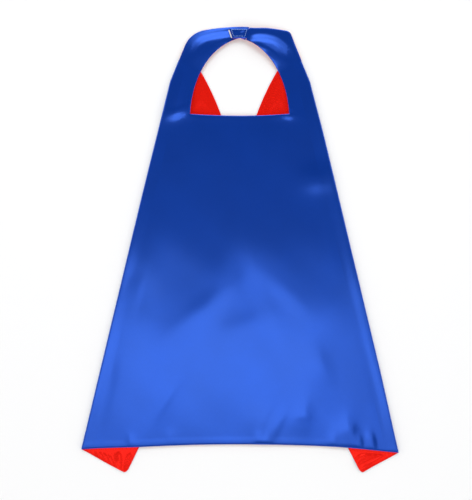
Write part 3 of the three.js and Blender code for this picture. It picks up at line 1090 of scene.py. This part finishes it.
class CAPE_OT_closure_tapes(bpy.types.Operator):
    """Adds the hook tape under the tab and the loop tape on the left strap"""

    bl_idname = "cape.closure_tapes"
    bl_label = "Hook and loop tapes"

    def execute(self, context):
        p = pattern()
        finish = context.scene.cape_finish
        for node, tip_inset, grow, tape in (
            ("hook_tape", -0.0020, self.hook, fibre("hook tape", finish.hooks, 900.0, 0.00006)),
            ("loop_tape", 0.0, self.loop, fibre("loop tape", finish.loops, 1400.0, 0.00012)),
        ):
            low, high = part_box(node)
            hooked = node == "hook_tape"
            bottom = high.z - TAPE_BASE if hooked else low.z
            bm = bmesh.new()
            corners = tape_lines(p, 0.0022, tip_inset, 0.0016)
            self.weave(bm, corners, bottom)
            rng = np.random.default_rng(7)
            for u in spacing(0.0133, TAPE_PITCH)[1:-1]:
                for v in spacing(0.031, TAPE_PITCH)[1:-1]:
                    spot = (1 - v) * ((1 - u) * corners[0, 0] + u * corners[0, 1])
                    spot = spot + v * ((1 - u) * corners[1, 0] + u * corners[1, 1])
                    spot = spot + rng.uniform(-0.00016, 0.00016, 2)
                    grow(bm, spot, low.z, bottom, rng)
            piece = small_part(f"{node}_woven", bm, node, node, tape)
            if hooked:
                bend_tab(piece, p)
            else:
                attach(piece, "left_strap")
        return {"FINISHED"}

    def weave(self, bm, corners, bottom):
        """The flat base of a tape."""
        stretch(
            bm, corners[0], corners[1], corners[:, 0], corners[:, 1],
            spacing(0.0133, 0.0009), spacing(0.031, 0.0009),
        )
        bmesh.ops.translate(bm, verts=bm.verts[:], vec=(0, 0, bottom))
        raised = bmesh.ops.extrude_face_region(bm, geom=bm.faces[:])["geom"]
        top = [v for v in raised if isinstance(v, bmesh.types.BMVert)]
        bmesh.ops.translate(bm, verts=top, vec=(0, 0, TAPE_BASE))
        bmesh.ops.recalc_face_normals(bm, faces=bm.faces[:])

    def hook(self, bm, spot, low, bottom, rng):
        """One leaning hook that hangs from the base."""
        tilt = Matrix.Rotation(rng.uniform(0.2, 0.5), 4, "Y")
        depth = bottom - low
        bmesh.ops.create_cone(
            bm, cap_ends=True, segments=5, radius1=0.00022, radius2=0.00012, depth=depth * 0.95,
            matrix=Matrix.Translation((*spot, bottom - depth * 0.45)) @ tilt,
        )

    def loop(self, bm, spot, low, bottom, rng):
        """One tuft of the loops."""
        size = rng.uniform(0.8, 1.1)
        shape = Matrix.Diagonal((0.00062 * size, 0.00048 * size, 0.00042 * size, 1))
        turn = Matrix.Rotation(rng.uniform(0, math.pi), 4, "Z")
        place = Matrix.Translation((*spot, low + TAPE_BASE + 0.0001))
        bmesh.ops.create_icosphere(bm, subdivisions=1, radius=1.0, matrix=place @ turn @ shape)


class CAPE_OT_box_stitching(bpy.types.Operator):
    """Sews the stitched boxes that hold the tapes"""

    bl_idname = "cape.box_stitching"
    bl_label = "Stitched boxes"

    def execute(self, context):
        p = pattern()
        thread = fibre("box thread", context.scene.cape_finish.box_thread, 2500.0, 0.00003)
        surface = upper_strap_end(p) + p.h.ply_gap + p.h.ply_thickness / 2
        beneath = p.h.upper_level - p.h.ply_gap - p.h.ply_thickness / 2
        levels = {"hook_tape_stitching": surface + 0.00008, "loop_tape_stitching": beneath - 0.00008}
        for node, level in levels.items():
            c = tape_lines(p, 0.0034, 0.0030, 0.0026)
            ring = np.array([c[0, 0], c[0, 1], c[1, 1], c[1, 0], c[0, 0]])
            bm = bmesh.new()
            for a, b in zip(ring, ring[1:]):
                path = np.column_stack([np.array([a, b]), [level, level]])
                sew(bm, path, 0.0024, 0.0004, 0.0008, 0.0005, detail=2)
            piece = small_part(f"{node}_thread", bm, node, "box_stitching", thread)
            if node == "hook_tape_stitching":
                bend_tab(piece, p)
            else:
                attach(piece, "left_strap")
        return {"FINISHED"}


class CAPE_OT_seam_threads(bpy.types.Operator):
    """Sews the threads that join the two plies just inside their edges"""

    bl_idname = "cape.seam_threads"
    bl_label = "Seam threads"

    inset = 0.0016

    def sew_seam(self, node, paths, p):
        """One seam thread as single stitches along its paths."""
        finish = fibre("seam thread", bpy.context.scene.cape_finish.thread, 2500.0, 0.00003)
        bm = bmesh.new()
        for path in paths:
            path[:, :2] += settle(path, p)
            sew(bm, path, 0.0024, 0.0007, 0.0003, 0.0003)
        return small_part(f"{node}_thread", bm, node, "seam_thread", finish)

    def on_upper(self, line, p):
        """A flat line laid in the middle of the upper plies."""
        even = sample(line, np.linspace(0, 1, 200))
        return np.column_stack([even, upper_height(even, p)])

    def execute(self, context):
        p = pattern()
        hem = self.on_upper(beside(p.hem, self.inset)[4:-4], p)
        neck = self.on_upper(beside(p.neckline, -self.inset), p)
        arch = clip(p.half_arch, p.crease, -p.crease_normal)
        sides = [self.on_upper(beside(mirror(arch, side), -self.inset * side), p) for _, side in SIDES]
        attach(self.sew_seam("seam_hem", [hem], p), "back_panel")
        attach(self.sew_seam("seam_neckline", [neck, *sides], p), "back_panel")
        for name, side in SIDES:
            lay = fold_frame(p, side)
            hem, free, _ = fold_edges(p, lay, side)
            hem = between(hem, 0.016, 1.0)
            flats = (
                sample(beside(hem, self.inset), np.linspace(0, 0.97, 60)),
                sample(beside(free, self.inset), np.linspace(0.004, 0.99, 300)),
            )
            paths = [lay(flat, np.zeros(len(flat))) for flat in flats]
            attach(self.sew_seam(f"seam_{name}_side_fold", paths, p), f"{name}_side_fold")
            self.sew_strap(p, name, side)
        c = tape_lines(p, 0.001, self.inset, self.inset)
        ring = sample(np.array([c[0, 0], c[1, 0], c[1, 1], c[0, 1]]), np.linspace(0, 1, 120))
        path = np.column_stack([ring, np.full(len(ring), upper_strap_end(p))])
        bend_tab(self.sew_seam("seam_closure_tab", [path], p), p)
        return {"FINISHED"}

    def sew_strap(self, p, name, side):
        """Seams along a strap's two edges."""
        edges = strap_edges(p, side)
        paths = []
        for line, turn in zip(edges, (-1.0, 1.0)):
            even = sample(beside(line, self.inset * turn), np.linspace(0.05, 0.985, 160))
            d_in, _, b = strap_shares(even, edges)
            paths.append(np.column_stack([mirror(even, side), strap_height(even, d_in, b, p, side)]))
        if side < 0:
            seams = {"seam_left_strap": paths}
        else:
            seams = {"seam_right_strap_inner": paths[:1], "seam_right_strap_outer": paths[1:]}
        for node, lines in seams.items():
            bend_strap(self.sew_seam(node, lines, p))


class CAPE_OT_stage(bpy.types.Operator):
    """Sets out the table, the lights and the camera"""

    bl_idname = "cape.stage"
    bl_label = "Stage"

    def execute(self, context):
        s = context.scene.cape_stage
        self.table(s)
        self.room(context, s)
        # the ceiling, which the flat cloth mirrors towards the camera
        self.lamp("overhead softbox", (-0.05, -0.61, 2.5), (-0.05, -0.61, 0.0), 1.90, 0.92, s.box_light)
        self.lamp("lit ceiling", (-0.05, -0.75, 2.55), (-0.05, -0.75, 0.0), 3.20, 2.40, s.spill_light)
        self.lamp("softbox centre", (-0.10, -0.44, 2.49), (-0.10, -0.44, 0.0), 0.90, 0.50, s.inner_light)
        # beyond the collar
        self.lamp("collar light", (0.1, 2.3, 2.1), (0.0, 0.1, 0.0), 2.8, 1.0, s.key_light)
        self.lamp("collar glow", (0.1, 2.4, 2.4), (0.0, 0.1, 0.0), 3.6, 1.9, s.glow_light)
        lens = bpy.data.cameras.new("camera")
        lens.sensor_width = 36.0
        lens.lens = lens.sensor_width * s.camera_height / s.view_side
        camera = link("camera", lens)
        camera.location = (s.aim_x, s.aim_y, s.camera_height)
        context.scene.camera = camera
        context.scene.view_settings.view_transform = "Standard"
        return {"FINISHED"}

    def table(self, s):
        """The pale table that the cape lies on."""
        bm = bmesh.new()
        bmesh.ops.create_grid(bm, x_segments=8, y_segments=8, size=s.floor_side / 2)
        mesh = bpy.data.meshes.new("table")
        bm.to_mesh(mesh)
        bm.free()
        made, _, shader = material("pale table")
        shader.inputs["Base Color"].default_value = (s.floor_grey, s.floor_grey, s.floor_grey * 1.005, 1.0)
        shader.inputs["Roughness"].default_value = 0.9
        shader.inputs["Specular IOR Level"].default_value = 0.1
        mesh.materials.append(made)
        link("table", mesh)

    def room(self, context, s):
        """Pale walls all round that fade to a dim ceiling."""
        world = bpy.data.worlds.new("room")
        world.use_nodes = True
        tree = world.node_tree
        heading = tree.nodes.new("ShaderNodeTexCoord")
        parts = tree.nodes.new("ShaderNodeSeparateXYZ")
        walls = tree.nodes.new("ShaderNodeValToRGB")
        low, high = walls.color_ramp.elements
        low.position, high.position = 0.50, 0.90
        low.color = (s.room_light, s.room_light, s.room_light, 1.0)
        high.color = (s.ceiling_light, s.ceiling_light, s.ceiling_light, 1.0)
        tree.links.new(heading.outputs["Generated"], parts.inputs["Vector"])
        tree.links.new(parts.outputs["Z"], walls.inputs["Fac"])
        tree.links.new(walls.outputs["Color"], tree.nodes["Background"].inputs["Color"])
        context.scene.world = world

    def lamp(self, name, place, aim, wide, tall, radiance):
        """A rectangular softbox of an even brightness."""
        light = bpy.data.lights.new(name, "AREA")
        light.shape = "RECTANGLE"
        light.size, light.size_y = wide, tall
        light.energy = radiance * math.pi * wide * tall
        lamp = link(name, light)
        lamp.location = place
        lamp.rotation_euler = (Vector(aim) - Vector(place)).to_track_quat("-Z", "Y").to_euler()


class CAPE_PT_panel(bpy.types.Panel):
    """Sizes, colours and steps of the cape"""

    bl_idname = "CAPE_PT_panel"
    bl_label = "Cape"
    bl_space_type = "VIEW_3D"
    bl_region_type = "UI"
    bl_category = "Cape"

    def draw(self, context):
        for group in ("cape_cut", "cape_cloth", "cape_finish", "cape_stage"):
            box = self.layout.box()
            settings = getattr(context.scene, group)
            for name in settings.bl_rna.properties.keys():
                if name not in ("rna_type", "name"):
                    box.prop(settings, name)
        for operator in OPERATORS:
            self.layout.operator(operator.bl_idname)


OPERATORS = (
    CAPE_OT_back_panel,
    CAPE_OT_side_folds,
    CAPE_OT_straps,
    CAPE_OT_closure_tab,
    CAPE_OT_closure_tapes,
    CAPE_OT_box_stitching,
    CAPE_OT_seam_threads,
    CAPE_OT_stage,
)
GROUPS = (
    ("cape_cut", CapeCut),
    ("cape_cloth", CapeCloth),
    ("cape_finish", CapeFinish),
    ("cape_stage", CapeStage),
)


def register():
    """Adds the settings, the steps and the panel."""
    for name, group in GROUPS:
        bpy.utils.register_class(group)
        setattr(bpy.types.Scene, name, PointerProperty(type=group))
    for operator in OPERATORS:
        bpy.utils.register_class(operator)
    bpy.utils.register_class(CAPE_PT_panel)


def unregister():
    """Takes them away again."""
    bpy.utils.unregister_class(CAPE_PT_panel)
    for operator in reversed(OPERATORS):
        bpy.utils.unregister_class(operator)
    for name, group in reversed(GROUPS):
        delattr(bpy.types.Scene, name)
        bpy.utils.unregister_class(group)


def main():
    """Makes the whole cape."""
    register()
    bpy.ops.cape.back_panel()
    bpy.ops.cape.side_folds()
    bpy.ops.cape.straps()
    bpy.ops.cape.closure_tab()
    bpy.ops.cape.closure_tapes()
    bpy.ops.cape.box_stitching()
    bpy.ops.cape.seam_threads()
    bpy.ops.cape.stage()
    bpy.context.view_layer.update()


if __name__ == "__main__":
    main()
